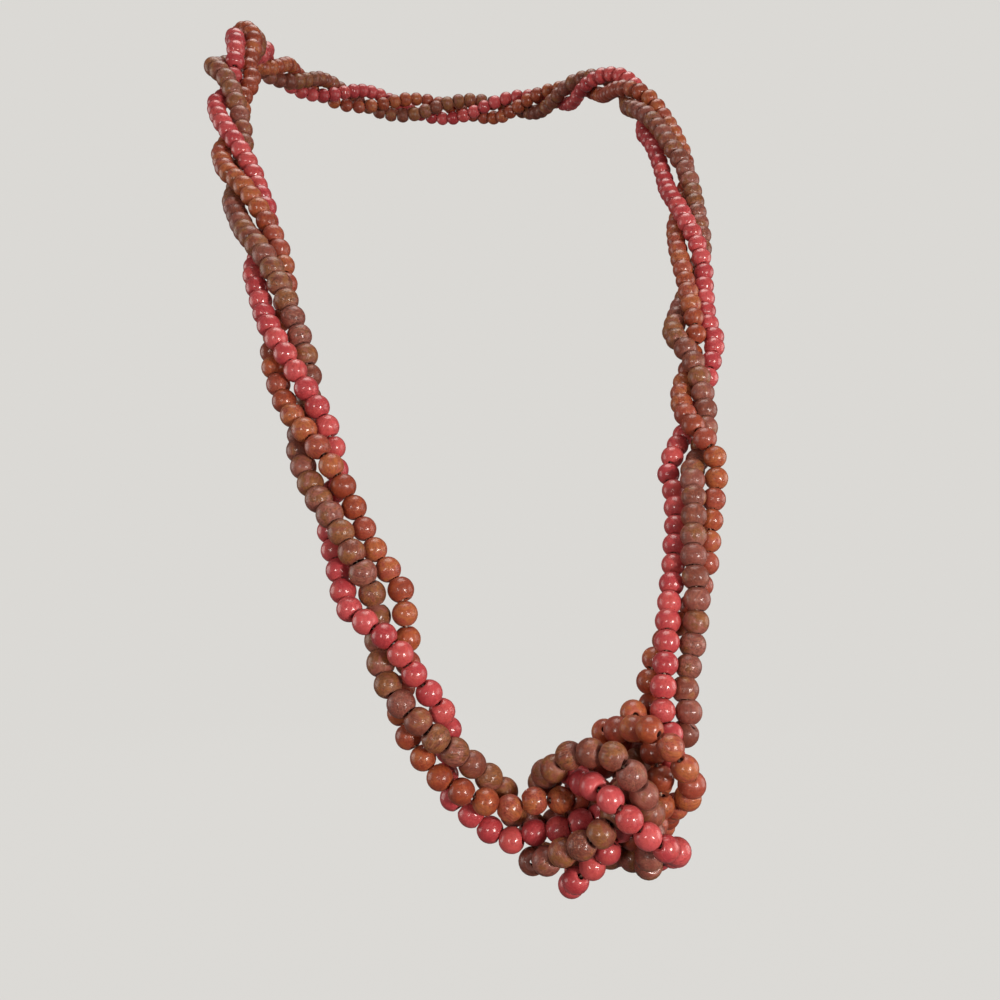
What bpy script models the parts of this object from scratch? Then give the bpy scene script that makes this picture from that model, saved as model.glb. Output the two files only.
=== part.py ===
"""Beaded necklace: three whole strings of turned wooden beads, twisted into a
rope and tied in one overhand knot.

Frame: millimetres in the tables, metres in the model. +Z is up, the wearer
faces -Y and +X is the wearer's left. The origin is where the rope sits against
the nape of the neck. Each string is one closed body: its beads, fused where
their flat ends meet on the thread.
"""
import math

import bmesh
import bpy
import numpy as np

MM = 0.001

# Beads: diameter, and the pitch at which they sit along their thread
CORAL_BEAD = 5.9
ORANGE_BEAD = 5.9
BROWN_BEAD = 6.3
CORAL_PITCH = 5.3
ORANGE_PITCH = 5.6
BROWN_PITCH = 5.3
# Flat end of a bead, where it meets the next one
BEAD_END = 2.6
# Clear gap between beads that lie side by side
BEAD_GAP = 0.35
# A bead's two rings of corners: how far inside its radius, and how far from its
# middle as a share of the radius
RING_INSET = 0.05
RING_PLACE = 0.35

BEADS = {"coral": CORAL_BEAD, "orange": ORANGE_BEAD, "brown": BROWN_BEAD}
PITCHES = {"coral": CORAL_PITCH, "orange": ORANGE_PITCH, "brown": BROWN_PITCH}

# Middle of the rope, chosen by hand: (left, back, up) from the knot up the
# wearer's left side, round the back of the neck and down the right side
ROPE_ROUTE = [
    (12.5, -233, -233), (14, -232, -224.5), (17, -230, -216), (24, -224, -200), (28.5, -218, -186),
    (34, -208, -168.5), (41, -193.5, -148.5), (47.5, -179, -128), (56.5, -160, -100), (63, -137, -70),
    (65.5, -117, -47), (65, -97, -27), (63, -66, -12), (55, -31, -5), (36, -5, -1), (0, 6.5, 0),
    (-38, -4, -1), (-62, -30, -5), (-73, -64, -13), (-76, -94, -26), (-80, -107, -41), (-81, -119, -58),
    (-79.5, -134, -77), (-75, -157, -101), (-70.5, -179, -126), (-67, -191, -147.5), (-62, -201, -167.5),
    (-56.5, -210, -186), (-50, -218.5, -203.5), (-44, -224.5, -222), (-33, -228, -241), (-24, -230, -249.5),
]
# Middle of the neck, which the rope's outward side is measured from
NECK_MIDDLE = (0.0, -62.0)

# The knot's middle, and how far it is turned about +Z towards the wearer's right
KNOT_MIDDLE = (-3.5, -241.5, -244.5)
KNOT_TURN = math.radians(-16)
# Each string through the knot, chosen by hand: (across, back, up) from its
# middle. It runs in behind the front band, round the back, over the front as
# the band, round the back again and out under the band
KNOT_POINTS = {
    "coral": [
        (-17, 2, -9), (-8, 1, -3), (4, 6, -6), (9, 9, -8), (11, 15, -11), (7, 20, -12), (-8, 10, 0),
        (-6, -5, 6), (1, -12, 3), (9, -9, -6), (14, 3, -13), (8, 13, -15), (-1, 14, -14),
        (-7, 9, -15), (-8, 2, -16), (-4, -1, -15), (0, -2, -10), (8, 3, -1), (14, 11, 12),
    ],
    "orange": [
        (-14, 1, 0), (10, 11, -4), (12, 16, 4), (2, 12, 11), (0, 8, 13), (2, 5, 14), (9, -6, 16),
        (14, -7, 10), (17, -4, 5), (15, 3, -2), (13, 11, -5), (12, 19, -13), (4, 21, -18),
        (-3, 15, -14), (-5, 4, -9), (-1, 4, -8), (11, 0, -2), (9, 1, 9), (9, 6, 12), (9, 9, 17),
    ],
    "brown": [
        (-20, 7, -7), (-13, 8, -9), (2, 10, -10), (9, 16, -8), (11, 22, -4), (4, 22, 1), (-5, 19, 2),
        (-14, 9, 1), (-11, 0, 6), (-8, -3, 10), (0, -9, 12), (5, -10, 4), (9, 2, -12), (3, 7, -14),
        (-4, 9, -13), (-12, 9, -14), (-17, 4, -14), (-4, -9, -5), (-1, -8, -2), (9, 5, 5), (15, 12, 14),
    ],
}

# Lay of the rope: (percent of its way, turns that the string has gone round)
TURNS = {
    "coral": [
        (0, 0), (4.4, .35), (8.7, .33), (13.2, .95), (17.5, .92), (18.3, 1.02), (23.5, 1.47), (28.1, 1.48),
        (36.4, 2.6), (60.7, 5.46), (67.8, 6.23), (71, 5.92), (74.4, 6.19), (76.2, 6.36), (78, 6.36),
        (81.4, 6.83), (83, 6.83), (85.3, 7.05), (88.5, 7.3), (90.9, 7.79), (92.9, 7.8), (94.6, 8.06),
        (96.9, 8.17), (98.7, 8.77), (100, 8.77),
    ],
    "orange": [
        (0, .35), (2, .35), (4.9, .85), (6.7, .87), (8.7, 1.02), (10.2, 1.25), (12.1, 1.38), (14.1, 1.07),
        (15.8, 1.15), (20.3, 1.45), (24.9, 2), (28.6, 2.05), (31.1, 2.4), (36.4, 2.93), (60.7, 5.8),
        (66.1, 6.4), (70.8, 6.43), (74.2, 6.9), (75.7, 6.93), (78.8, 7.2), (81.5, 7.33), (85, 7.82),
        (86.4, 7.82), (87.6, 8), (90.2, 8.25), (94.6, 8.28), (96.3, 8.78), (97.8, 8.82), (100, 9.18),
    ],
    "brown": [
        (0, -.05), (2.4, -.16), (4.2, .02), (5.3, .12), (8.4, .14), (9.9, -.05), (11.6, .04), (13.2, .2),
        (15.4, .41), (19.5, .94), (23, .97), (24.5, 1.12), (27, 1.24), (36.4, 2.27), (60.7, 5.13),
        (67.8, 5.8), (70.1, 6.15), (72.8, 6.39), (77.4, 6.89), (79.1, 6.9), (80.4, 7.03), (85.5, 7.31),
        (88.2, 7.8), (89.5, 7.85), (90.9, 8), (92.9, 8), (94.1, 7.78), (95.2, 7.8), (97.9, 8.16),
        (100, 8.3),
    ],
}
# Places, in percent of the rope's way, where a string dives under another
DIVES = {"coral": [69.7], "orange": [13.1], "brown": [9.1, 93.5]}
DIVE_REACH = 7.0

# Steps of the curves, and the stretch over which the lay is evened out
ROUTE_STEP = 1.0
STRING_STEP = 0.5
GUIDE_EVERY = 4
EVEN_OUT = 13

# Settling: how many rounds, how firmly beads are pushed and held, and how near
# a bead's second neighbour may come before the thread is too bent
SETTLE_ROUNDS = 400
PUSH = 0.6
HOLD = 0.02
LET_GO = 300
NEAR_LIST_EVERY = 10
NEAR_MARGIN = 3.0
SECOND_NEIGHBOUR = 1.6

# Colour and roughness of each string's lacquered wood
FINISHES = {
    "coral": ((0.60, 0.085, 0.10), 0.32),
    "orange": ((0.50, 0.125, 0.05), 0.40),
    "brown": ((0.27, 0.13, 0.085), 0.45),
}


def smooth_curve(points, step, closed=False):
    """Centripetal Catmull-Rom curve through the points, read about every step."""
    p = np.array(points, float)
    count = len(p)
    pieces = []
    for i in range(count if closed else count - 1):
        b, c = p[i], p[(i + 1) % count]
        a = p[i - 1] if closed or i > 0 else 2 * b - c
        d = p[(i + 2) % count] if closed or i + 2 < count else 2 * c - b
        t1 = np.linalg.norm(b - a) ** 0.5
        t2 = t1 + np.linalg.norm(c - b) ** 0.5
        t3 = t2 + np.linalg.norm(d - c) ** 0.5
        reads = max(2, int(np.linalg.norm(c - b) / step) + 1)
        t = np.linspace(t1, t2, reads, endpoint=False)[:, None]
        ab = ((t1 - t) * a + t * b) / t1
        bc = ((t2 - t) * b + (t - t1) * c) / (t2 - t1)
        cd = ((t3 - t) * c + (t - t2) * d) / (t3 - t2)
        abc = ((t2 - t) * ab + t * bc) / t2
        bcd = ((t3 - t) * bc + (t - t1) * cd) / (t3 - t1)
        pieces.append(((t2 - t) * abc + (t - t1) * bcd) / (t2 - t1))
    if not closed:
        pieces.append(p[-1:])
    return np.concatenate(pieces)


def lengths_along(points):
    """Distance of each point from the first, along the curve."""
    return np.concatenate([[0.0], np.cumsum(np.linalg.norm(np.diff(points, axis=0), axis=1))])


def read_along(points, lengths, places):
    """Points of the curve at the given distances."""
    return np.stack([np.interp(places, lengths, points[:, axis]) for axis in range(3)], axis=-1)


def unit(rows):
    return rows / np.linalg.norm(rows, axis=1)[:, None]


def outward_and_side(route):
    """Two directions across the rope: away from the neck, and at right angles to that."""
    along = unit(np.gradient(route, axis=0))
    outward = route - np.array([*NECK_MIDDLE, 0.0])
    outward[:, 2] = 0
    outward = unit(outward - (outward * along).sum(axis=1)[:, None] * along)
    return outward, np.cross(along, outward)


def in_rope(name):
    """Guide points of one string along the twisted rope."""
    route = smooth_curve(ROPE_ROUTE, ROUTE_STEP)
    lengths = lengths_along(route)
    percent = 100 * lengths / lengths[-1]
    outward, side = outward_and_side(route)
    table = np.array(TURNS[name])
    turns = np.interp(percent, table[:, 0], table[:, 1])
    weights = np.hanning(EVEN_OUT) / np.hanning(EVEN_OUT).sum()
    spare = (EVEN_OUT // 2, (EVEN_OUT - 1) // 2)
    turns = np.convolve(np.pad(turns, spare, mode="edge"), weights, mode="valid")
    angle = -2 * np.pi * turns
    reach = np.full(len(route), (max(BEADS.values()) + BEAD_GAP) / math.sqrt(3))
    for place in DIVES[name]:
        off = (percent - place) / 100 * lengths[-1]
        reach *= 1 - np.exp(-(off / DIVE_REACH) ** 2)
    across = np.cos(angle)[:, None] * outward + np.sin(angle)[:, None] * side
    return (route + reach[:, None] * across)[::GUIDE_EVERY]


def in_knot(name):
    """Guide points of one string through the knot."""
    turn = np.array([
        [math.cos(KNOT_TURN), math.sin(KNOT_TURN), 0],
        [-math.sin(KNOT_TURN), math.cos(KNOT_TURN), 0],
        [0, 0, 1],
    ])
    return np.array(KNOT_MIDDLE) + np.array(KNOT_POINTS[name], float) @ turn


def first_places(name):
    """Bead centres at even distances round the whole string."""
    curve = smooth_curve(np.concatenate([in_rope(name), in_knot(name)]), STRING_STEP, closed=True)
    curve = np.concatenate([curve, curve[:1]])
    lengths = lengths_along(curve)
    count = round(lengths[-1] / PITCHES[name])
    return read_along(curve, lengths, np.arange(count) * lengths[-1] / count)


def move_pairs(places, first, second, wanted, share, only_apart):
    """Move each pair of beads a share of the way to its wanted distance."""
    line = places[second] - places[first]
    gap = np.linalg.norm(line, axis=1)
    change = wanted - gap
    if only_apart:
        change = np.maximum(change, 0)
    step = line / gap[:, None] * (share * change / 2)[:, None]
    np.add.at(places, first, -step)
    np.add.at(places, second, step)


def settle(names):
    """Bead centres of all strings, pushed apart until none cuts into another."""
    strings = [first_places(name) for name in names]
    counts = [len(string) for string in strings]
    ends = np.cumsum(counts)
    places = np.concatenate(strings)
    guide = places.copy()
    string = np.repeat(np.arange(len(names)), counts)
    sizes = np.array([BEADS[name] for name in names])[string]
    pitches = np.array([PITCHES[name] for name in names])[string]
    here = np.arange(len(places))
    after = here + 1
    after[ends - 1] = ends - counts
    beyond = after[after]
    first, second = np.triu_indices(len(places), 1)
    apart = np.abs(first - second)
    apart = np.minimum(apart, np.array(counts)[string[first]] - apart)
    strangers = (string[first] != string[second]) | (apart > 2)
    first, second = first[strangers], second[strangers]
    clear = (sizes[first] + sizes[second]) / 2 + BEAD_GAP
    for turn in range(SETTLE_ROUNDS):
        if turn % NEAR_LIST_EVERY == 0:
            gap = np.linalg.norm(places[second] - places[first], axis=1)
            near = gap < clear + NEAR_MARGIN
        move_pairs(places, first[near], second[near], clear[near], PUSH, True)
        for _ in range(2):
            move_pairs(places, here, after, pitches, PUSH, False)
        move_pairs(places, here, beyond, SECOND_NEIGHBOUR * pitches, PUSH, True)
        if turn < LET_GO:
            places += HOLD * (guide - places)
    return dict(zip(names, np.split(places, ends[:-1])))


def rings_of_bead(name):
    """(place along the bead, radius, corners, first corner's turn) of its rings.

    Two staggered rings of five corners stand round the widest part, so that the
    bead shows ten corners round its thread; a ring of three joins it to the next.
    """
    radius = BEADS[name] / 2
    widest = radius - RING_INSET
    offset = RING_PLACE * radius
    return [
        (-PITCHES[name] / 2, BEAD_END / 2, 3, 0.0),
        (-offset, widest, 5, 0.0),
        (offset, widest, 5, math.pi / 5),
    ]


def frames_round(centres):
    """Two directions across the thread at each bead, turning as little as they can."""
    along = unit(np.roll(centres, -1, axis=0) - np.roll(centres, 1, axis=0))
    across = np.zeros_like(centres)
    start = np.cross(along[0], (0.0, 0.0, 1.0))
    across[0] = start / np.linalg.norm(start)
    for i in range(1, len(centres)):
        carried = across[i - 1] - across[i - 1] @ along[i] * along[i]
        across[i] = carried / np.linalg.norm(carried)
    carried = across[-1] - across[-1] @ along[0] * along[0]
    other = np.cross(along[0], across[0])
    left_over = math.atan2(carried @ other, carried @ across[0])
    angle = -left_over * np.arange(len(centres)) / len(centres)
    other = np.cross(along, across)
    across = np.cos(angle)[:, None] * across + np.sin(angle)[:, None] * other
    return along, across, np.cross(along, across)


def join_rings(mesh, low, high, low_turn, high_turn):
    """Triangles between two rings, each corner joined to the nearest across."""
    i = j = 0
    while i < len(low) or j < len(high):
        next_low = low_turn + 2 * math.pi * (i + 0.5) / len(low)
        next_high = high_turn + 2 * math.pi * (j + 0.5) / len(high)
        corner = (low[i % len(low)], high[j % len(high)])
        if j >= len(high) or (i < len(low) and next_low <= next_high):
            i += 1
            mesh.faces.new((*corner[::-1], low[i % len(low)])[::-1])
        else:
            j += 1
            mesh.faces.new((*corner, high[j % len(high)])[::-1])


def string_mesh(name, centres):
    """One closed ring of beads."""
    along, across, other = frames_round(centres)
    mesh = bmesh.new()
    rings = []
    for i, centre in enumerate(centres):
        for place, radius, corners, turn in rings_of_bead(name):
            if place <= -PITCHES[name] / 2:
                middle = (centres[i - 1] + centre) / 2
            else:
                middle = centre + place * along[i]
            ring = []
            for k in range(corners):
                angle = turn + 2 * math.pi * k / corners
                spoke = math.cos(angle) * across[i] + math.sin(angle) * other[i]
                ring.append(mesh.verts.new((middle + radius * spoke) * MM))
            rings.append((ring, turn))
    for (low, low_turn), (high, high_turn) in zip(rings, rings[1:] + rings[:1]):
        join_rings(mesh, low, high, low_turn, high_turn)
    bmesh.ops.recalc_face_normals(mesh, faces=mesh.faces)
    return mesh


def wood(name):
    colour, roughness = FINISHES[name]
    material = bpy.data.materials.new(name + "_wood")
    material.use_nodes = True
    shader = material.node_tree.nodes["Principled BSDF"]
    shader.inputs["Base Color"].default_value = (*colour, 1)
    shader.inputs["Roughness"].default_value = roughness
    shader.inputs["Metallic"].default_value = 0
    return material


def make_string(name, centres):
    mesh = string_mesh(name, centres)
    data = bpy.data.meshes.new(name + "_strand")
    mesh.to_mesh(data)
    mesh.free()
    data.materials.append(wood(name))
    data.shade_smooth()
    strand = bpy.data.objects.new(name + "_strand", data)
    bpy.context.scene.collection.objects.link(strand)
    return strand


def main():
    for old in list(bpy.data.objects):
        bpy.data.objects.remove(old, do_unlink=True)
    for name, centres in settle(list(BEADS)).items():
        make_string(name, centres)


main()
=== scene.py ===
"""Looks of the beaded necklace: turned, drilled and lacquered wooden beads on
their threads, in plain soft light.

Millimetres in the tables, metres in the model.
"""
import math

import bpy
import numpy as np
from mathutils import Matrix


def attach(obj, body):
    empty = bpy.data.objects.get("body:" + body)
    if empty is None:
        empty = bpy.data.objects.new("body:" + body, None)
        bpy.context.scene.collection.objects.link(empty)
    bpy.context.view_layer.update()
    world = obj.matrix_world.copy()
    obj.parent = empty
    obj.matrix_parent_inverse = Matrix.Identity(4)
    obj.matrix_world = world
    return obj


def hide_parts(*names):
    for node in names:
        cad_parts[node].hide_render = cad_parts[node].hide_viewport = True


MM = 0.001

# Beads: diameter, and the pitch at which they sit along their thread
CORAL_BEAD = 5.9
ORANGE_BEAD = 5.9
BROWN_BEAD = 6.3
CORAL_PITCH = 5.3
ORANGE_PITCH = 5.6
BROWN_PITCH = 5.3
# Clear gap between beads that lie side by side
BEAD_GAP = 0.35

BEADS = {"coral": CORAL_BEAD, "orange": ORANGE_BEAD, "brown": BROWN_BEAD}
PITCHES = {"coral": CORAL_PITCH, "orange": ORANGE_PITCH, "brown": BROWN_PITCH}

# Middle of the rope: (left, back, up) from the knot up the
# wearer's left side, round the back of the neck and down the right side
ROPE_ROUTE = [
    (12.5, -233, -233), (14, -232, -224.5), (17, -230, -216), (24, -224, -200),
    (28.5, -218, -186), (34, -208, -168.5), (41, -193.5, -148.5), (47.5, -179, -128),
    (56.5, -160, -100), (63, -137, -70), (65.5, -117, -47), (65, -97, -27),
    (63, -66, -12), (55, -31, -5), (36, -5, -1), (0, 6.5, 0),
    (-38, -4, -1), (-62, -30, -5), (-73, -64, -13), (-76, -94, -26),
    (-80, -107, -41), (-81, -119, -58), (-79.5, -134, -77), (-75, -157, -101),
    (-70.5, -179, -126), (-67, -191, -147.5), (-62, -201, -167.5), (-56.5, -210, -186),
    (-50, -218.5, -203.5), (-44, -224.5, -222), (-33, -228, -241), (-24, -230, -249.5),
]
# Middle of the neck, which the rope's outward side is measured from
NECK_MIDDLE = (0.0, -62.0)

# The knot's middle, and how far it is turned about +Z towards the wearer's right
KNOT_MIDDLE = (-3.5, -241.5, -244.5)
KNOT_TURN = math.radians(-16)
# Each string through the knot: (across, back, up) from its
# middle. It runs in behind the front band, round the back, over the front as
# the band, round the back again and out under the band
KNOT_POINTS = {
    "coral": [
        (-17, 2, -9), (-8, 1, -3), (4, 6, -6), (9, 9, -8), (11, 15, -11),
        (7, 20, -12), (-8, 10, 0), (-6, -5, 6), (1, -12, 3), (9, -9, -6),
        (14, 3, -13), (8, 13, -15), (-1, 14, -14), (-7, 9, -15), (-8, 2, -16),
        (-4, -1, -15), (0, -2, -10), (8, 3, -1), (14, 11, 12),
    ],
    "orange": [
        (-14, 1, 0), (10, 11, -4), (12, 16, 4), (2, 12, 11), (0, 8, 13),
        (2, 5, 14), (9, -6, 16), (14, -7, 10), (17, -4, 5), (15, 3, -2),
        (13, 11, -5), (12, 19, -13), (4, 21, -18), (-3, 15, -14), (-5, 4, -9),
        (-1, 4, -8), (11, 0, -2), (9, 1, 9), (9, 6, 12), (9, 9, 17),
    ],
    "brown": [
        (-20, 7, -7), (-13, 8, -9), (2, 10, -10), (9, 16, -8), (11, 22, -4),
        (4, 22, 1), (-5, 19, 2), (-14, 9, 1), (-11, 0, 6), (-8, -3, 10),
        (0, -9, 12), (5, -10, 4), (9, 2, -12), (3, 7, -14), (-4, 9, -13),
        (-12, 9, -14), (-17, 4, -14), (-4, -9, -5), (-1, -8, -2), (9, 5, 5),
        (15, 12, 14),
    ],
}

# Lay of the rope: (percent of its way, turns that the string has gone round)
TURNS = {
    "coral": [
        (0, 0), (4.4, .35), (8.7, .33), (13.2, .95), (17.5, .92), (18.3, 1.02),
        (23.5, 1.47), (28.1, 1.48), (36.4, 2.6), (60.7, 5.46), (67.8, 6.23), (71, 5.92),
        (74.4, 6.19), (76.2, 6.36), (78, 6.36), (81.4, 6.83), (83, 6.83), (85.3, 7.05),
        (88.5, 7.3), (90.9, 7.79), (92.9, 7.8), (94.6, 8.06), (96.9, 8.17), (98.7, 8.77),
        (100, 8.77),
    ],
    "orange": [
        (0, .35), (2, .35), (4.9, .85), (6.7, .87), (8.7, 1.02), (10.2, 1.25),
        (12.1, 1.38), (14.1, 1.07), (15.8, 1.15), (20.3, 1.45), (24.9, 2), (28.6, 2.05),
        (31.1, 2.4), (36.4, 2.93), (60.7, 5.8), (66.1, 6.4), (70.8, 6.43), (74.2, 6.9),
        (75.7, 6.93), (78.8, 7.2), (81.5, 7.33), (85, 7.82), (86.4, 7.82), (87.6, 8),
        (90.2, 8.25), (94.6, 8.28), (96.3, 8.78), (97.8, 8.82), (100, 9.18),
    ],
    "brown": [
        (0, -.05), (2.4, -.16), (4.2, .02), (5.3, .12), (8.4, .14), (9.9, -.05),
        (11.6, .04), (13.2, .2), (15.4, .41), (19.5, .94), (23, .97), (24.5, 1.12),
        (27, 1.24), (36.4, 2.27), (60.7, 5.13), (67.8, 5.8), (70.1, 6.15), (72.8, 6.39),
        (77.4, 6.89), (79.1, 6.9), (80.4, 7.03), (85.5, 7.31), (88.2, 7.8), (89.5, 7.85),
        (90.9, 8), (92.9, 8), (94.1, 7.78), (95.2, 7.8), (97.9, 8.16), (100, 8.3),
    ],
}
# Places, in percent of the rope's way, where a string dives under another
DIVES = {"coral": [69.7], "orange": [13.1], "brown": [9.1, 93.5]}
DIVE_REACH = 7.0

# Steps of the curves, and the stretch over which the lay is evened out
ROUTE_STEP = 1.0
STRING_STEP = 0.5
GUIDE_EVERY = 4
EVEN_OUT = 13

# Settling: how many rounds, how often neighbours are set to their pitch in each,
# how firmly beads are pushed and held to their guide, in which round they are
# let go, how often and how widely near pairs are listed, and how near a bead's
# second neighbour may come, in pitches, before the thread is too bent
SETTLE_ROUNDS = 400
PITCH_PASSES = 2
PUSH = 0.6
HOLD = 0.02
LET_GO = 300
NEAR_LIST_EVERY = 10
NEAR_MARGIN = 3.0
SECOND_NEIGHBOUR = 1.6


def smooth_curve(points, step, closed=False):
    """Centripetal Catmull-Rom curve through the points, read about every step."""
    p = np.array(points, float)
    count = len(p)
    pieces = []
    for i in range(count if closed else count - 1):
        b, c = p[i], p[(i + 1) % count]
        a = p[i - 1] if closed or i > 0 else 2 * b - c
        d = p[(i + 2) % count] if closed or i + 2 < count else 2 * c - b
        t1 = np.linalg.norm(b - a) ** 0.5
        t2 = t1 + np.linalg.norm(c - b) ** 0.5
        t3 = t2 + np.linalg.norm(d - c) ** 0.5
        reads = max(2, int(np.linalg.norm(c - b) / step) + 1)
        t = np.linspace(t1, t2, reads, endpoint=False)[:, None]
        ab = ((t1 - t) * a + t * b) / t1
        bc = ((t2 - t) * b + (t - t1) * c) / (t2 - t1)
        cd = ((t3 - t) * c + (t - t2) * d) / (t3 - t2)
        abc = ((t2 - t) * ab + t * bc) / t2
        bcd = ((t3 - t) * bc + (t - t1) * cd) / (t3 - t1)
        pieces.append(((t2 - t) * abc + (t - t1) * bcd) / (t2 - t1))
    if not closed:
        pieces.append(p[-1:])
    return np.concatenate(pieces)


def lengths_along(points):
    """Distance of each point from the first, along the curve."""
    return np.concatenate([[0.0], np.cumsum(np.linalg.norm(np.diff(points, axis=0), axis=1))])


def read_along(points, lengths, places):
    """Points of the curve at the given distances."""
    return np.stack([np.interp(places, lengths, points[:, axis]) for axis in range(3)], axis=-1)


def unit(rows):
    return rows / np.linalg.norm(rows, axis=1)[:, None]


def outward_and_side(route):
    """Two directions across the rope: away from the neck, and at right angles to that."""
    along = unit(np.gradient(route, axis=0))
    outward = route - np.array([*NECK_MIDDLE, 0.0])
    outward[:, 2] = 0
    outward = unit(outward - (outward * along).sum(axis=1)[:, None] * along)
    return outward, np.cross(along, outward)


def in_rope(name):
    """Guide points of one string along the twisted rope."""
    route = smooth_curve(ROPE_ROUTE, ROUTE_STEP)
    lengths = lengths_along(route)
    percent = 100 * lengths / lengths[-1]
    outward, side = outward_and_side(route)
    table = np.array(TURNS[name])
    turns = np.interp(percent, table[:, 0], table[:, 1])
    weights = np.hanning(EVEN_OUT) / np.hanning(EVEN_OUT).sum()
    spare = (EVEN_OUT // 2, (EVEN_OUT - 1) // 2)
    turns = np.convolve(np.pad(turns, spare, mode="edge"), weights, mode="valid")
    angle = -2 * np.pi * turns
    reach = np.full(len(route), (max(BEADS.values()) + BEAD_GAP) / math.sqrt(3))
    for place in DIVES[name]:
        off = (percent - place) / 100 * lengths[-1]
        reach *= 1 - np.exp(-(off / DIVE_REACH) ** 2)
    across = np.cos(angle)[:, None] * outward + np.sin(angle)[:, None] * side
    return (route + reach[:, None] * across)[::GUIDE_EVERY]


def in_knot(name):
    """Guide points of one string through the knot."""
    turn = np.array([
        [math.cos(KNOT_TURN), math.sin(KNOT_TURN), 0],
        [-math.sin(KNOT_TURN), math.cos(KNOT_TURN), 0],
        [0, 0, 1],
    ])
    return np.array(KNOT_MIDDLE) + np.array(KNOT_POINTS[name], float) @ turn


def first_places(name):
    """Bead centres at even distances round the whole string."""
    curve = smooth_curve(np.concatenate([in_rope(name), in_knot(name)]), STRING_STEP, closed=True)
    curve = np.concatenate([curve, curve[:1]])
    lengths = lengths_along(curve)
    count = round(lengths[-1] / PITCHES[name])
    return read_along(curve, lengths, np.arange(count) * lengths[-1] / count)


def move_pairs(places, first, second, wanted, share, only_apart):
    """Move each pair of beads a share of the way to its wanted distance."""
    line = places[second] - places[first]
    gap = np.linalg.norm(line, axis=1)
    change = wanted - gap
    if only_apart:
        change = np.maximum(change, 0)
    step = line / gap[:, None] * (share * change / 2)[:, None]
    np.add.at(places, first, -step)
    np.add.at(places, second, step)


def settle(names):
    """Bead centres of all strings, pushed apart until none cuts into another."""
    strings = [first_places(name) for name in names]
    counts = [len(string) for string in strings]
    ends = np.cumsum(counts)
    places = np.concatenate(strings)
    guide = places.copy()
    string = np.repeat(np.arange(len(names)), counts)
    sizes = np.array([BEADS[name] for name in names])[string]
    pitches = np.array([PITCHES[name] for name in names])[string]
    here = np.arange(len(places))
    after = here + 1
    after[ends - 1] = ends - counts
    beyond = after[after]
    first, second = np.triu_indices(len(places), 1)
    apart = np.abs(first - second)
    apart = np.minimum(apart, np.array(counts)[string[first]] - apart)
    strangers = (string[first] != string[second]) | (apart > 2)
    first, second = first[strangers], second[strangers]
    clear = (sizes[first] + sizes[second]) / 2 + BEAD_GAP
    for turn in range(SETTLE_ROUNDS):
        if turn % NEAR_LIST_EVERY == 0:
            gap = np.linalg.norm(places[second] - places[first], axis=1)
            near = gap < clear + NEAR_MARGIN
        move_pairs(places, first[near], second[near], clear[near], PUSH, True)
        for _ in range(PITCH_PASSES):
            move_pairs(places, here, after, pitches, PUSH, False)
        move_pairs(places, here, beyond, SECOND_NEIGHBOUR * pitches, PUSH, True)
        if turn < LET_GO:
            places += HOLD * (guide - places)
    return dict(zip(names, np.split(places, ends[:-1])))


def frames_round(centres):
    """Two directions across the thread at each bead, turning as little as they can."""
    along = unit(np.roll(centres, -1, axis=0) - np.roll(centres, 1, axis=0))
    across = np.zeros_like(centres)
    start = np.cross(along[0], (0.0, 0.0, 1.0))
    across[0] = start / np.linalg.norm(start)
    for i in range(1, len(centres)):
        carried = across[i - 1] - across[i - 1] @ along[i] * along[i]
        across[i] = carried / np.linalg.norm(carried)
    carried = across[-1] - across[-1] @ along[0] * along[0]
    other = np.cross(along[0], across[0])
    left_over = math.atan2(carried @ other, carried @ across[0])
    angle = -left_over * np.arange(len(centres)) / len(centres)
    other = np.cross(along, across)
    across = np.cos(angle)[:, None] * across + np.sin(angle)[:, None] * other
    return along, across, np.cross(along, across)


# Length of a bead along its thread, between its two flat ends
BEAD_LENGTHS = {"coral": 5.1, "orange": 5.35, "brown": 5.12}
# Drilled hole and how deep its mouth is sunk, the thread, and the easing of
# edges with the share of it that is taken off the flat end
HOLE_RADIUS = 0.68
MOUTH_DEPTH = 0.14
THREAD_RADIUS = 0.3
EDGE_EASE = 0.11
END_EASE = 0.4
# Share of a bead's outside, towards each end, where the stain is rubbed paler,
# and the most that it is rubbed there
WORN_SHOULDER = 0.32
MOST_RUBBED = 0.7
# Sides round a bead, rings over its outside, rings of its two ends (flat, mouth
# and hole), and sides of the thread
BEAD_SIDES = 24
BEAD_RINGS = 11
END_RINGS = 6
THREAD_SIDES = 6
# How much beads of one string differ in diameter and in length, how far apart
# their places in the wood lie, and the chance behind the first string
SIZE_SPREAD = 0.03
LENGTH_SPREAD = 0.035
WOOD_SPREAD = 90
FIRST_SEED = 11

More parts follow.
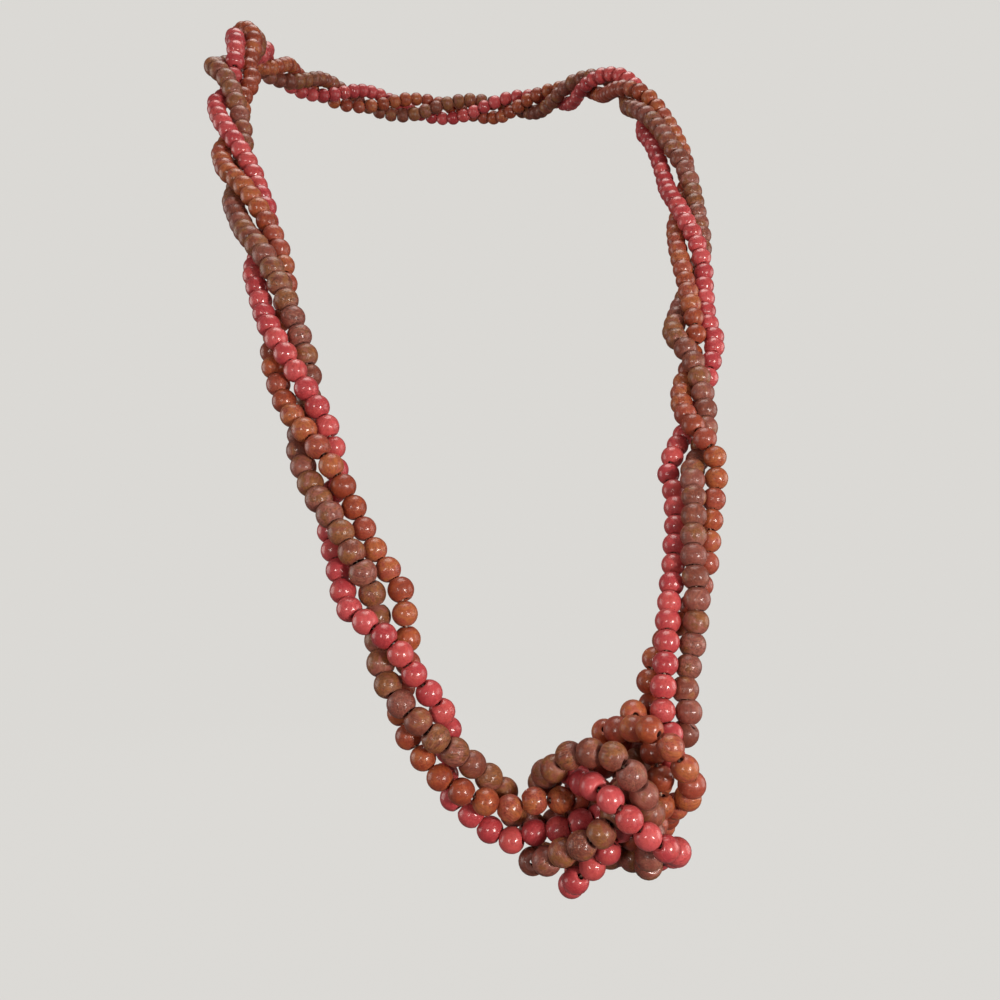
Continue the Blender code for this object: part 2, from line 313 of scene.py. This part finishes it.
# Colours as red, green and blue of 0 to 255. Hues run over the beads of a
# string by chance; patch is how far the hue drifts within one bead. Streak,
# pale and pore give how much of the mark's colour shows and that colour, and
# relief how deep the grain stands
LOOKS = {
    "coral": {
        "hues": [(160, 49, 53), (178, 63, 66), (192, 78, 79), (181, 71, 67), (169, 56, 61)],
        "patch": 0.8, "streak": (0.50, (140, 28, 36)), "pale": (0.40, (218, 106, 104)),
        "pore": (0.50, (96, 18, 24)), "end": (194, 84, 84),
        "roughness": 0.38, "coat": 0.65, "coat_roughness": 0.08, "relief": 0.6,
    },
    "orange": {
        "hues": [
            (134, 53, 32), (148, 62, 36), (160, 76, 42),
            (167, 92, 51), (158, 74, 56), (145, 60, 43),
        ],
        "patch": 1.2, "streak": (0.60, (98, 34, 20)), "pale": (0.42, (200, 124, 78)),
        "pore": (0.65, (64, 24, 14)), "end": (178, 94, 72),
        "roughness": 0.42, "coat": 0.5, "coat_roughness": 0.11, "relief": 0.9,
    },
    "brown": {
        "hues": [
            (116, 56, 42), (136, 71, 53), (140, 85, 46),
            (124, 71, 39), (147, 85, 71), (130, 67, 56),
        ],
        "patch": 1.6, "streak": (0.62, (78, 40, 30)), "pale": (0.50, (176, 126, 98)),
        "pore": (0.70, (46, 24, 18)), "end": (152, 98, 88),
        "roughness": 0.44, "coat": 0.4, "coat_roughness": 0.13, "relief": 1.2,
    },
}
# Marks in the wood: waves per millimetre along and across the grain, detail and
# how rough that detail is
MARKS = {
    "patch": ((0.2, 0.34, 0.34), 2, 0.55),
    "mottle": ((0.9, 1.3, 1.3), 3, 0.6),
    "streak": ((0.22, 2.4, 2.4), 4, 0.65),
    "pale": ((0.3, 3.4, 3.4), 3, 0.6),
    "pore": ((1.1, 5.0, 5.0), 2, 0.5),
}
# Noise at which a mark begins, and at which it is full
BANDS = {"streak": (0.46, 0.62), "pale": (0.54, 0.68), "pore": (0.62, 0.68)}
# How far mottling moves the hue, and how much of the end's colour shows there
MOTTLE_DRIFT = 0.5
END_SHARE = 0.7
# How strong the marks are on the smoothest bead, and how much more on the liveliest
LEAST_LIVELY = 0.4
MORE_LIVELY = 0.7
# Roughness added in streaks and in pores
STREAK_ROUGH = 0.12
PORE_ROUGH = 0.25
# Depth of the grain in millimetres, and the shares of streaks and mottling in it
GRAIN_DEPTH = 0.06
STREAK_DEPTH = 0.5
MOTTLE_DEPTH = 0.8
# Share of the grain's relief that the lacquer over it still shows, and the
# shine of the stained wood under it
COAT_SHARE = 0.35
UNDER_SHINE = 0.25
# Inside of the drilled hole: a dark colour, painted shade of the deep bore
HOLE_PAINTED_SHADE = (70, 30, 24)
HOLE_ROUGHNESS = 0.8
THREAD_COLOUR = (158, 126, 110)
THREAD_ROUGHNESS = 0.55
# The stage's own glow keeps it evenly pale from every side, and its dark, matt
# paint takes little light
STAGE_COLOUR = (226, 224, 220)
STAGE_GLOW = 0.93
STAGE_PAINT = (14, 14, 14)
STAGE_ROUGHNESS = 0.9


def colour(red_green_blue):
    """Linear colour of a displayed one, by the usual display curve."""
    values = [c / 255 for c in red_green_blue]
    values = [c / 12.92 if c <= 0.04045 else ((c + 0.055) / 1.055) ** 2.4 for c in values]
    return (*values, 1.0)


def bead_section(radius, length):
    """Closed outline of a drilled bead, as (place along the thread, distance from it)."""
    half = length / 2
    reach = math.asin((half - END_EASE * EDGE_EASE) / radius)
    turns = np.linspace(-reach, reach, BEAD_RINGS)
    outline = [(radius * math.sin(t), radius * math.cos(t)) for t in turns]
    flat = radius * math.cos(reach) - EDGE_EASE
    mouth = half - MOUTH_DEPTH
    ends = [(half, flat), (mouth, HOLE_RADIUS + EDGE_EASE), (mouth - EDGE_EASE, HOLE_RADIUS)]
    outline += ends + [(-x, r) for x, r in ends[::-1]]
    return np.array(outline)


def turn_matrices(random, count):
    """Evenly spread rotations."""
    q = unit(random.normal(size=(count, 4)))
    w, x, y, z = q.T
    return np.stack([
        1 - 2 * (y * y + z * z), 2 * (x * y - z * w), 2 * (x * z + y * w),
        2 * (x * y + z * w), 1 - 2 * (x * x + z * z), 2 * (y * z - x * w),
        2 * (x * z - y * w), 2 * (y * z + x * w), 1 - 2 * (x * x + y * y),
    ], axis=-1).reshape(count, 3, 3)


def bead_points(name, centres, random):
    """Points of all beads, their places within their bead, and their share of a flat end."""
    along, across, other = frames_round(centres)
    count = len(centres)
    angles = 2 * np.pi * np.arange(BEAD_SIDES) / BEAD_SIDES
    points, places, ends = [], [], []
    for i in range(count):
        radius = BEADS[name] / 2 * (1 + SIZE_SPREAD * random.uniform(-1, 1))
        length = BEAD_LENGTHS[name] * (1 + LENGTH_SPREAD * random.uniform(-1, 1))
        section = bead_section(radius, length)
        spoke = angles + random.uniform(0, 2 * np.pi)
        x = np.repeat(section[:, 0], BEAD_SIDES)
        y = (section[:, 1][:, None] * np.cos(spoke)).ravel()
        z = (section[:, 1][:, None] * np.sin(spoke)).ravel()
        place = np.stack([x, y, z], axis=-1)
        points.append(centres[i] + place @ np.stack([along[i], across[i], other[i]]))
        places.append(place)
        end = np.ones(len(section))
        shoulder = 1 - (1 - np.abs(np.linspace(-1, 1, BEAD_RINGS))) / WORN_SHOULDER
        end[:BEAD_RINGS] = MOST_RUBBED * random.uniform(0, 1) * np.clip(shoulder, 0, 1)
        ends.append(np.repeat(end, BEAD_SIDES))
    grain = np.stack(places) @ turn_matrices(random, count)
    grain += random.uniform(-WOOD_SPREAD, WOOD_SPREAD, size=(count, 1, 3))
    return np.concatenate(points), grain.reshape(-1, 3), np.concatenate(ends)


def ring_faces(rings, sides, first, closed=True):
    """Quads between neighbouring rings of points."""
    here = np.arange(rings if closed else rings - 1)
    after = (here + 1) % rings
    k = np.arange(sides)
    beside = (k + 1) % sides
    quads = np.stack([
        (here[:, None] * sides + k), (here[:, None] * sides + beside),
        (after[:, None] * sides + beside), (after[:, None] * sides + k),
    ], axis=-1)
    return first + quads.reshape(-1, 4)


def thread_points(centres):
    """Rings of the thread, two to a bead."""
    along, across, other = frames_round(centres)
    angles = 2 * np.pi * np.arange(THREAD_SIDES) / THREAD_SIDES
    rings = []
    for i in range(len(centres)):
        after = (i + 1) % len(centres)
        between = unit((across[i] + across[after])[None])[0]
        beside = unit((other[i] + other[after])[None])[0]
        for middle, a, b in (
            (centres[i], across[i], other[i]),
            ((centres[i] + centres[after]) / 2, between, beside),
        ):
            ring = np.cos(angles)[:, None] * a + np.sin(angles)[:, None] * b
            rings.append(middle + THREAD_RADIUS * ring)
    return np.concatenate(rings)


def make_string(name, centres, seed):
    """One string: its beads and its thread, as one piece."""
    random = np.random.default_rng(seed)
    count = len(centres)
    beads, grain, ends = bead_points(name, centres, random)
    thread = thread_points(centres)
    rings = BEAD_RINGS + END_RINGS
    size = rings * BEAD_SIDES
    firsts = np.arange(count) * size
    bead_faces = ring_faces(rings, BEAD_SIDES, firsts[:, None, None]).reshape(-1, 4)
    hole_ring = BEAD_RINGS + END_RINGS // 2 - 1
    in_hole = np.tile(np.repeat(np.arange(rings) == hole_ring, BEAD_SIDES), count)
    thread_faces = ring_faces(2 * count, THREAD_SIDES, len(beads))
    data = bpy.data.meshes.new(name + "_beads")
    data.from_pydata(
        (np.concatenate([beads, thread]) * MM).tolist(), [],
        np.concatenate([bead_faces, thread_faces]).tolist(),
    )
    data.materials.append(wood(name))
    # The bore of each hole is painted dark, as painted shade
    data.materials.append(plain(name + "_hole", HOLE_PAINTED_SHADE, HOLE_ROUGHNESS))
    data.materials.append(plain(name + "_thread", THREAD_COLOUR, THREAD_ROUGHNESS))
    kinds = np.concatenate([in_hole.astype(int), np.full(len(thread_faces), 2)])
    data.polygons.foreach_set("material_index", kinds.astype(np.int32))
    data.polygons.foreach_set("use_smooth", np.ones(len(kinds), bool))
    rest = np.zeros((len(thread), 3))
    tint = np.repeat(random.uniform(0, 1, count), size)
    # Squared, so that few beads have lively wood
    lively = np.repeat(random.uniform(0, 1, count) ** 2, size)
    point_values(data, "grain_place", "FLOAT_VECTOR", "vector", np.concatenate([grain, rest]))
    for label, values in (("bead_tint", tint), ("bead_end", ends), ("bead_lively", lively)):
        point_values(data, label, "FLOAT", "value", np.concatenate([values, rest[:, 0]]))
    data.update()
    string = bpy.data.objects.new(name + "_beads", data)
    bpy.context.scene.collection.objects.link(string)
    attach(string, "root")
    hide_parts(name + "_strand")


def point_values(data, label, kind, field, values):
    layer = data.attributes.new(label, kind, "POINT")
    layer.data.foreach_set(field, np.ascontiguousarray(values, np.float32).ravel())


def new_material(name, roughness):
    material = bpy.data.materials.new(name)
    material.use_nodes = True
    shader = material.node_tree.nodes["Principled BSDF"]
    shader.inputs["Roughness"].default_value = roughness
    return material, material.node_tree, shader


def plain(name, shade, roughness):
    material, _, shader = new_material(name, roughness)
    shader.inputs["Base Color"].default_value = colour(shade)
    return material


def join(tree, start, end):
    tree.links.new(start, end)


def attribute(tree, label, output):
    node = tree.nodes.new("ShaderNodeAttribute")
    node.attribute_name = label
    return node.outputs[output]


def sums(tree, kind, first, second):
    """Arithmetic on two values, each a socket or a number."""
    node = tree.nodes.new("ShaderNodeMath")
    node.operation = kind
    for socket, value in zip(node.inputs, (first, second)):
        if isinstance(value, (int, float)):
            socket.default_value = value
        else:
            join(tree, value, socket)
    return node.outputs[0]


def noise(tree, place, mark):
    """Noise over the bead for one kind of mark."""
    stretch, detail, roughness = MARKS[mark]
    mapping = tree.nodes.new("ShaderNodeMapping")
    mapping.vector_type = "POINT"
    mapping.inputs["Scale"].default_value = stretch
    join(tree, place, mapping.inputs["Vector"])
    node = tree.nodes.new("ShaderNodeTexNoise")
    node.inputs["Scale"].default_value = 1
    node.inputs["Detail"].default_value = detail
    node.inputs["Roughness"].default_value = roughness
    join(tree, mapping.outputs[0], node.inputs["Vector"])
    return node.outputs["Fac"]


def ramp(tree, value, stops):
    """Colours or greys at places from 0 to 1."""
    node = tree.nodes.new("ShaderNodeValToRGB")
    elements = node.color_ramp.elements
    while len(elements) < len(stops):
        elements.new(0.5)
    for element, (place, shade) in zip(elements, stops):
        element.position = place
        element.color = shade
    join(tree, value, node.inputs["Fac"])
    return node.outputs["Color"]


def band(tree, place, mark):
    """From 0 off a mark to 1 on it."""
    low, high = BANDS[mark]
    return ramp(tree, noise(tree, place, mark), [(low, (0, 0, 0, 1)), (high, (1, 1, 1, 1))])


def times(tree, first, second):
    return sums(tree, "MULTIPLY", first, second)


def plus(tree, first, second):
    return sums(tree, "ADD", first, second)


def off_middle(tree, value):
    """Noise as steps to either side of 0."""
    return sums(tree, "SUBTRACT", value, 0.5)


def mixed(tree, share, first, second):
    node = tree.nodes.new("ShaderNodeMix")
    node.data_type = "RGBA"
    join(tree, share, node.inputs["Factor"])
    join(tree, first, node.inputs["A"])
    node.inputs["B"].default_value = second
    return node.outputs["Result"]


def wood(name):
    """Stained and lacquered wood: hue by bead, drifting patches, dark and pale
    streaks, pores and paler, rubbed ends."""
    look = LOOKS[name]
    material, tree, shader = new_material(name + "_wood", look["roughness"])
    place = attribute(tree, "grain_place", "Vector")
    tint = attribute(tree, "bead_tint", "Fac")
    end = attribute(tree, "bead_end", "Fac")
    lively = attribute(tree, "bead_lively", "Fac")
    patch = noise(tree, place, "patch")
    mottle = noise(tree, place, "mottle")
    streak = band(tree, place, "streak")
    pale = band(tree, place, "pale")
    pore = band(tree, place, "pore")
    drift = times(tree, off_middle(tree, patch), look["patch"])
    drift = plus(tree, drift, times(tree, off_middle(tree, mottle), MOTTLE_DRIFT))
    count = len(look["hues"])
    stops = [((k + 0.5) / count, colour(hue)) for k, hue in enumerate(look["hues"])]
    shade = ramp(tree, plus(tree, tint, drift), stops)
    strength = plus(tree, times(tree, lively, MORE_LIVELY), LEAST_LIVELY)
    pores = times(tree, pore, strength)
    for share, (amount, hue) in ((streak, look["streak"]), (pale, look["pale"])):
        share = times(tree, times(tree, share, strength), amount)
        shade = mixed(tree, share, shade, colour(hue))
    amount, hue = look["pore"]
    shade = mixed(tree, times(tree, pores, amount), shade, colour(hue))
    shade = mixed(tree, times(tree, end, END_SHARE), shade, colour(look["end"]))
    join(tree, shade, shader.inputs["Base Color"])
    rough = plus(tree, times(tree, streak, STREAK_ROUGH), times(tree, pores, PORE_ROUGH))
    join(tree, plus(tree, rough, look["roughness"]), shader.inputs["Roughness"])
    shader.inputs["Specular IOR Level"].default_value = UNDER_SHINE
    shader.inputs["Coat Weight"].default_value = look["coat"]
    shader.inputs["Coat Roughness"].default_value = look["coat_roughness"]
    height = plus(tree, times(tree, streak, STREAK_DEPTH), pores)
    height = plus(tree, height, times(tree, mottle, MOTTLE_DEPTH))
    relief(tree, shader, height, look["relief"], "Normal")
    relief(tree, shader, height, look["relief"] * COAT_SHARE, "Coat Normal")
    return material


def relief(tree, shader, height, strength, layer):
    """Small dents in the wood or in its coat, where the height is above 0."""
    node = tree.nodes.new("ShaderNodeBump")
    node.invert = True
    node.inputs["Strength"].default_value = strength
    node.inputs["Distance"].default_value = GRAIN_DEPTH * MM
    join(tree, height, node.inputs["Height"])
    join(tree, node.outputs["Normal"], shader.inputs[layer])


# Camera: where it stands, which way it looks (towards the wearer's left of
# straight back), its focal length in pixels of a picture of that width, and
# how near it sees, in metres
CAMERA_PLACE = (-84, -437, -180)
CAMERA_TURN = math.radians(-16)
FOCAL_PIXELS = 980
PICTURE_WIDTH = 1000
SENSOR = 36.0
NEAREST = 0.01

# Round soft boxes: (right of the camera, above it, behind it), width in metres,
# power in watts
LIGHTS = {
    "key_light": ((260, -10, 120), 0.1, 1.8),
    "second_light": ((-200, 40, 300), 0.12, 0.95),
    "top_light": ((0, 900, -380), 0.7, 5.6),
    "right_light": ((900, 60, -330), 0.7, 3.8),
    "left_light": ((-900, 60, -330), 0.7, 3.6),
    "back_light": ((-260, 160, -1300), 0.3, 6.5),
    "second_back_light": ((240, 240, -1300), 0.3, 4.5),
}
# Left out of the gloss: there these two would draw a bright line round each bead
NO_GLINT = ("back_light", "second_back_light")
LIGHT_COLOUR = (1, 0.965, 0.915)
LOOK_AT = (-5, -190, -170)
WORLD_COLOUR = (1, 0.985, 0.96, 1)
WORLD_STRENGTH = 0.10

# Stage: a floor that curves up into a wall all round
FLOOR_HEIGHT = -480
FLOOR_RADIUS = 1500
WALL_RADIUS = 2300
WALL_TOP = 9000
BEND_STEPS = 16
STAGE_SIDES = 96


def set_camera():
    data = bpy.data.cameras.new("camera")
    data.sensor_fit = "HORIZONTAL"
    data.sensor_width = SENSOR
    data.lens = SENSOR * FOCAL_PIXELS / PICTURE_WIDTH
    data.clip_start = NEAREST
    camera = bpy.data.objects.new("camera", data)
    camera.location = [c * MM for c in CAMERA_PLACE]
    camera.rotation_euler = (math.pi / 2, 0, CAMERA_TURN)
    bpy.context.scene.collection.objects.link(camera)
    bpy.context.scene.camera = camera


def set_lights():
    right = np.array([math.cos(CAMERA_TURN), math.sin(CAMERA_TURN), 0])
    behind = np.array([math.sin(CAMERA_TURN), -math.cos(CAMERA_TURN), 0])
    up = np.array([0, 0, 1.0])
    for name, ((across, above, back), width, power) in LIGHTS.items():
        data = bpy.data.lights.new(name, "AREA")
        data.shape = "DISK"
        data.size = width
        data.energy = power
        data.color = LIGHT_COLOUR
        light = bpy.data.objects.new(name, data)
        place = np.array(CAMERA_PLACE) + across * right + above * up + back * behind
        light.location = place * MM
        aim = unit((place - np.array(LOOK_AT))[None])[0]
        light.rotation_euler = (math.acos(aim[2]), 0, math.atan2(aim[0], -aim[1]))
        light.visible_camera = False
        light.visible_glossy = name not in NO_GLINT
        bpy.context.scene.collection.objects.link(light)
    world = bpy.data.worlds.new("world")
    world.use_nodes = True
    background = world.node_tree.nodes["Background"]
    background.inputs["Color"].default_value = WORLD_COLOUR
    background.inputs["Strength"].default_value = WORLD_STRENGTH
    bpy.context.scene.world = world
    bpy.context.scene.view_settings.view_transform = "Standard"


def set_stage():
    bend = WALL_RADIUS - FLOOR_RADIUS
    turns = np.linspace(0, math.pi / 2, BEND_STEPS)
    radii = [*(FLOOR_RADIUS + bend * np.sin(turns)), WALL_RADIUS]
    heights = [*(FLOOR_HEIGHT + bend * (1 - np.cos(turns))), WALL_TOP]
    angles = 2 * np.pi * np.arange(STAGE_SIDES) / STAGE_SIDES
    points = [(0.0, 0.0, FLOOR_HEIGHT * MM)]
    for radius, height in zip(radii, heights):
        x = radius * np.cos(angles) * MM
        y = radius * np.sin(angles) * MM
        points += [(*place, height * MM) for place in zip(x, y)]
    faces = [(0, 1 + k, 1 + (k + 1) % STAGE_SIDES) for k in range(STAGE_SIDES)]
    faces += ring_faces(len(radii), STAGE_SIDES, 1, closed=False)[:, ::-1].tolist()
    data = bpy.data.meshes.new("backdrop")
    data.from_pydata(points, [], faces)
    paint = plain("backdrop_paint", STAGE_PAINT, STAGE_ROUGHNESS)
    shader = paint.node_tree.nodes["Principled BSDF"]
    shader.inputs["Emission Color"].default_value = colour(STAGE_COLOUR)
    shader.inputs["Emission Strength"].default_value = STAGE_GLOW
    shader.inputs["Specular IOR Level"].default_value = 0
    data.materials.append(paint)
    data.shade_smooth()
    backdrop = bpy.data.objects.new("backdrop", data)
    bpy.context.scene.collection.objects.link(backdrop)
    # It is seen, and shades or tints nothing, so the beads keep deep shadows between them
    backdrop.visible_diffuse = False
    backdrop.visible_glossy = False
    backdrop.visible_shadow = False


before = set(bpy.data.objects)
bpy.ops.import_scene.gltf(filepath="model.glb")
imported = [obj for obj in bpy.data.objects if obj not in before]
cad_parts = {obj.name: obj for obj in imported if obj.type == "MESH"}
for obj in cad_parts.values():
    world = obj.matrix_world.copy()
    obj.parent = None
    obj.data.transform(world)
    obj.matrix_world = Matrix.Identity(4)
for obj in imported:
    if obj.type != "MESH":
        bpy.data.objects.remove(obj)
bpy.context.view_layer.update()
for number, (name, centres) in enumerate(settle(list(BEADS)).items()):
    make_string(name, centres, FIRST_SEED + number)
set_camera()
set_lights()
set_stage()
